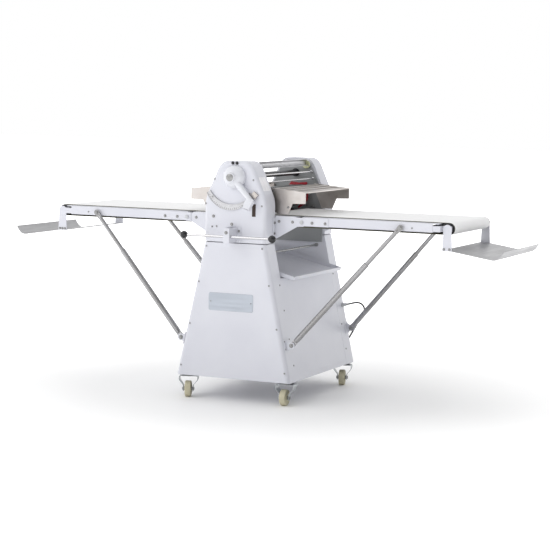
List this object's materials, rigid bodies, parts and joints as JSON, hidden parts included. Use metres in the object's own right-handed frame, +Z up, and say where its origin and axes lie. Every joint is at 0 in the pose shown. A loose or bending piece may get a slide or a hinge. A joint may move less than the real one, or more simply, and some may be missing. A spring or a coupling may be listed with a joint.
{
  "type": "dough sheeter",
  "caption": "Floor-standing reversible dough sheeter with fold-up belt conveyors on telescopic stays, lever-set roller gap, slatted guards, catch trays and casters.",
  "frame": {"origin": "on the floor under the middle of the machine box, without the mains cable", "axes": "+X along the conveyors to the right of the operator, +Y from the operator to the back, +Z up"},
  "size_m": [2.48, 1.0963, 1.108],
  "materials": {
    "white_paint": "powder coated, satin",
    "white_enamel": "glossy enamel on a casting",
    "stainless": "brushed stainless sheet and tube",
    "chrome": "polished hard chrome",
    "grey_plate": "grey painted steel plate",
    "dark_steel": "blackened steel",
    "belt": "white coated conveyor belting, olive edges",
    "aluminium": "matt sheet",
    "black_plastic": "glossy",
    "red_paint": "semi gloss",
    "galvanised": "zinc plated pressings",
    "wheel_nylon": "cream nylon",
    "motor_grey": "hammer paint",
    "grey_nylon": "moulded",
    "cable_rubber": "matt rubber"
  },
  "bodies": {
    "root": {"base_frame": "white_paint", "front_cabinet": "white_paint", "rear_cabinet": "white_paint", "tie_rod": "stainless", "front_head_housing": "white_paint", "rear_head_housing": "white_paint", "front_inner_plate": "grey_plate", "rear_inner_plate": "grey_plate", "top_trough": "stainless", "thickness_scale": "stainless", "reversing_bracket": "white_paint", "inner_table_right": "white_paint", "inner_table_left": "white_paint", "drive_motor": "motor_grey", "drive_chain": "dark_steel", "cable_gland": "grey_nylon", "power_cable": "cable_rubber", "cable_coil": "cable_rubber", "power_plug": "black_plastic"},
    "lower_roller": {"lower_roller": "chrome"},
    "motor_sprocket": {"motor_sprocket": "dark_steel"},
    "roller_carriage": {"roller_carriage": "grey_plate"},
    "upper_roller": {"upper_roller": "chrome"},
    "scraper_right": {"scraper_right": "stainless"},
    "scraper_left": {"scraper_left": "stainless"},
    "scraper_lever": {"scraper_lever": "red_paint"},
    "thickness_handle": {"thickness_handle": "white_enamel", "cross_shaft": "dark_steel"},
    "reversing_bar": {"reversing_bar": "stainless"},
    "start_button": {"start_button": "black_plastic"},
    "stop_button": {"stop_button": "black_plastic"},
    "crumb_tray": {"crumb_tray": "white_paint"},
    "table_right": {"table_frame_right": "white_paint", "belt_right": "belt"},
    "end_roller_right": {"end_roller_right": "chrome"},
    "drive_roller_right": {"drive_roller_right": "dark_steel"},
    "catch_tray_right": {"catch_tray_right": "aluminium"},
    "guard_right": {"guard_right": "stainless"},
    "table_left": {"table_frame_left": "white_paint", "belt_left": "belt"},
    "end_roller_left": {"end_roller_left": "chrome"},
    "drive_roller_left": {"drive_roller_left": "dark_steel"},
    "catch_tray_left": {"catch_tray_left": "aluminium"},
    "guard_left": {"guard_left": "stainless"},
    "stay_tube_front_right": {"stay_tube_front_right": "stainless"},
    "stay_rod_front_right": {"stay_rod_front_right": "stainless"},
    "caster_fork_front_right": {"caster_fork_front_right": "galvanised"},
    "caster_wheel_front_right": {"caster_wheel_front_right": "wheel_nylon"},
    "stay_tube_front_left": {"stay_tube_front_left": "stainless"},
    "stay_rod_front_left": {"stay_rod_front_left": "stainless"},
    "caster_fork_front_left": {"caster_fork_front_left": "galvanised"},
    "caster_wheel_front_left": {"caster_wheel_front_left": "wheel_nylon"},
    "stay_tube_rear_right": {"stay_tube_rear_right": "stainless"},
    "stay_rod_rear_right": {"stay_rod_rear_right": "stainless"},
    "caster_fork_rear_right": {"caster_fork_rear_right": "galvanised"},
    "caster_wheel_rear_right": {"caster_wheel_rear_right": "wheel_nylon"},
    "stay_tube_rear_left": {"stay_tube_rear_left": "stainless"},
    "stay_rod_rear_left": {"stay_rod_rear_left": "stainless"},
    "caster_fork_rear_left": {"caster_fork_rear_left": "galvanised"},
    "caster_wheel_rear_left": {"caster_wheel_rear_left": "wheel_nylon"}
  },
  "joints": [
    {"name": "lower_roller_spin", "type": "hinge", "parent": "root", "child": "lower_roller", "pos_m": [0, 0.044, 0.822], "axis": [0, 1, 0], "continuous": true},
    {"name": "motor_spin", "type": "hinge", "parent": "root", "child": "motor_sprocket", "pos_m": [0.04, 0.044, 0.19], "axis": [0, 1, 0], "continuous": true},
    {"name": "handle_turn", "type": "hinge", "parent": "root", "child": "thickness_handle", "pos_m": [0, 0.044, 1.036], "axis": [0, 1, 0], "range_deg": [0, 100]},
    {"name": "carriage_lift", "type": "slide", "parent": "root", "child": "roller_carriage", "axis": [0, 0, 1], "range_m": [0, 0.034]},
    {"name": "upper_roller_spin", "type": "hinge", "parent": "roller_carriage", "child": "upper_roller", "pos_m": [0, 0.044, 0.914], "axis": [0, 1, 0], "continuous": true},
    {"name": "scraper_right_swing", "type": "hinge", "parent": "roller_carriage", "child": "scraper_right", "pos_m": [0.072, 0.044, 0.944], "axis": [0, 1, 0], "range_deg": [0, 15]},
    {"name": "scraper_left_swing", "type": "hinge", "parent": "roller_carriage", "child": "scraper_left", "pos_m": [-0.072, 0.044, 0.944], "axis": [0, -1, 0], "range_deg": [0, 15]},
    {"name": "scraper_lever_turn", "type": "hinge", "parent": "root", "child": "scraper_lever", "pos_m": [0.056, 0.044, 0.984], "axis": [0, 1, 0], "range_deg": [0, 12]},
    {"name": "reversing_slide", "type": "slide", "parent": "root", "child": "reversing_bar", "axis": [1, 0, 0], "range_m": [-0.025, 0.025]},
    {"name": "start_press", "type": "slide", "parent": "root", "child": "start_button", "axis": [0, 1, 0], "range_m": [0, 0.003], "stiffness_N_per_m": 400},
    {"name": "stop_press", "type": "slide", "parent": "root", "child": "stop_button", "axis": [0, 1, 0], "range_m": [0, 0.003], "stiffness_N_per_m": 400},
    {"name": "crumb_tray_slide", "type": "slide", "parent": "root", "child": "crumb_tray", "axis": [0.9736, 0, -0.2283], "range_m": [0, 0.25]},
    {"name": "table_fold_right", "type": "hinge", "parent": "root", "child": "table_right", "pos_m": [0.2915, 0.044, 0.837], "axis": [0, -1, 0], "range_deg": [0, 68]},
    {"name": "drive_roller_right_spin", "type": "hinge", "parent": "root", "child": "drive_roller_right", "pos_m": [0.08, 0.044, 0.837], "axis": [0, 1, 0], "continuous": true},
    {"name": "end_roller_right_spin", "type": "hinge", "parent": "table_right", "child": "end_roller_right", "pos_m": [0.979, 0.044, 0.837], "axis": [0, 1, 0], "continuous": true},
    {"name": "catch_tray_right_tilt", "type": "hinge", "parent": "table_right", "child": "catch_tray_right", "pos_m": [0.979, 0.044, 0.837], "axis": [0, -1, 0], "range_deg": [0, 90]},
    {"name": "guard_right_lift", "type": "hinge", "parent": "root", "child": "guard_right", "pos_m": [0.112, 0.044, 0.97], "axis": [0, -1, 0], "range_deg": [0, 60]},
    {"name": "table_fold_left", "type": "hinge", "parent": "root", "child": "table_left", "pos_m": [-0.2915, 0.044, 0.837], "axis": [0, 1, 0], "range_deg": [0, 68]},
    {"name": "drive_roller_left_spin", "type": "hinge", "parent": "root", "child": "drive_roller_left", "pos_m": [-0.08, 0.044, 0.837], "axis": [0, 1, 0], "continuous": true},
    {"name": "end_roller_left_spin", "type": "hinge", "parent": "table_left", "child": "end_roller_left", "pos_m": [-0.979, 0.044, 0.837], "axis": [0, 1, 0], "continuous": true},
    {"name": "catch_tray_left_tilt", "type": "hinge", "parent": "table_left", "child": "catch_tray_left", "pos_m": [-0.979, 0.044, 0.837], "axis": [0, 1, 0], "range_deg": [0, 90]},
    {"name": "guard_left_lift", "type": "hinge", "parent": "root", "child": "guard_left", "pos_m": [-0.112, 0.044, 0.97], "axis": [0, 1, 0], "range_deg": [0, 60]},
    {"name": "stay_front_right_turn", "type": "hinge", "parent": "root", "child": "stay_tube_front_right", "pos_m": [0.281, -0.3211, 0.2783], "axis": [0.0559, -0.9977, 0.0375], "range_deg": [0, 30.97]},
    {"name": "stay_front_right_extend", "type": "slide", "parent": "stay_tube_front_right", "child": "stay_rod_front_right", "axis": [0.6582, 0.0651, 0.75], "range_m": [0, 0.2789]},
    {"name": "caster_front_right_swivel", "type": "hinge", "parent": "root", "child": "caster_fork_front_right", "pos_m": [0.25, -0.301, 0.1], "axis": [0, 0, 1], "continuous": true},
    {"name": "caster_front_right_roll", "type": "hinge", "parent": "caster_fork_front_right", "child": "caster_wheel_front_right", "pos_m": [0.25087, -0.32598, 0.0375], "axis": [-0.9994, -0.0349, 0], "continuous": true},
    {"name": "stay_front_left_turn", "type": "hinge", "parent": "root", "child": "stay_tube_front_left", "pos_m": [-0.281, -0.3211, 0.2783], "axis": [0.0559, 0.9977, -0.0375], "range_deg": [0, 30.97]},
    {"name": "stay_front_left_extend", "type": "slide", "parent": "stay_tube_front_left", "child": "stay_rod_front_left", "axis": [-0.6582, 0.0651, 0.75], "range_m": [0, 0.2789]},
    {"name": "caster_front_left_swivel", "type": "hinge", "parent": "root", "child": "caster_fork_front_left", "pos_m": [-0.25, -0.301, 0.1], "axis": [0, 0, 1], "continuous": true},
    {"name": "caster_front_left_roll", "type": "hinge", "parent": "caster_fork_front_left", "child": "caster_wheel_front_left", "pos_m": [-0.24145, -0.32449, 0.0375], "axis": [-0.9397, -0.342, 0], "continuous": true},
    {"name": "stay_rear_right_turn", "type": "hinge", "parent": "root", "child": "stay_tube_rear_right", "pos_m": [0.281, 0.4091, 0.2783], "axis": [-0.0559, -0.9977, -0.0375], "range_deg": [0, 30.97]},
    {"name": "stay_rear_right_extend", "type": "slide", "parent": "stay_tube_rear_right", "child": "stay_rod_rear_right", "axis": [0.6582, -0.0651, 0.75], "range_m": [0, 0.2789]},
    {"name": "caster_rear_right_swivel", "type": "hinge", "parent": "root", "child": "caster_fork_rear_right", "pos_m": [0.25, 0.389, 0.1], "axis": [0, 0, 1], "continuous": true},
    {"name": "caster_rear_right_roll", "type": "hinge", "parent": "caster_fork_rear_right", "child": "caster_wheel_rear_right", "pos_m": [0.25647, 0.36485, 0.0375], "axis": [-0.9659, -0.2588, 0], "continuous": true},
    {"name": "stay_rear_left_turn", "type": "hinge", "parent": "root", "child": "stay_tube_rear_left", "pos_m": [-0.281, 0.4091, 0.2783], "axis": [-0.0559, 0.9977, 0.0375], "range_deg": [0, 30.97]},
    {"name": "stay_rear_left_extend", "type": "slide", "parent": "stay_tube_rear_left", "child": "stay_rod_rear_left", "axis": [-0.6582, -0.0651, 0.75], "range_m": [0, 0.2789]},
    {"name": "caster_rear_left_swivel", "type": "hinge", "parent": "root", "child": "caster_fork_rear_left", "pos_m": [-0.25, 0.389, 0.1], "axis": [0, 0, 1], "continuous": true},
    {"name": "caster_rear_left_roll", "type": "hinge", "parent": "caster_fork_rear_left", "child": "caster_wheel_rear_left", "pos_m": [-0.24652, 0.36424, 0.0375], "axis": [-0.9903, -0.1392, 0], "continuous": true}
  ],
  "couplings": [
    {"joint": "motor_spin", "follows": "lower_roller_spin", "ratio": 2},
    {"joint": "carriage_lift", "follows": "handle_turn", "m_per_rad": 0.01948},
    {"joint": "upper_roller_spin", "follows": "lower_roller_spin", "ratio": -1},
    {"joint": "drive_roller_right_spin", "follows": "lower_roller_spin", "ratio": 1.76},
    {"joint": "end_roller_right_spin", "follows": "lower_roller_spin", "ratio": 1.76},
    {"joint": "drive_roller_left_spin", "follows": "lower_roller_spin", "ratio": 1.76},
    {"joint": "end_roller_left_spin", "follows": "lower_roller_spin", "ratio": 1.76},
    {"joint": "stay_front_right_turn", "follows": "table_fold_right", "ratio": 0.44804},
    {"joint": "stay_front_right_extend", "follows": "table_fold_right", "m_per_rad": 0.23415},
    {"joint": "stay_front_left_turn", "follows": "table_fold_left", "ratio": 0.44804},
    {"joint": "stay_front_left_extend", "follows": "table_fold_left", "m_per_rad": 0.23415},
    {"joint": "stay_rear_right_turn", "follows": "table_fold_right", "ratio": 0.44804},
    {"joint": "stay_rear_right_extend", "follows": "table_fold_right", "m_per_rad": 0.23415},
    {"joint": "stay_rear_left_turn", "follows": "table_fold_left", "ratio": 0.44804},
    {"joint": "stay_rear_left_extend", "follows": "table_fold_left", "m_per_rad": 0.23415}
  ]
}
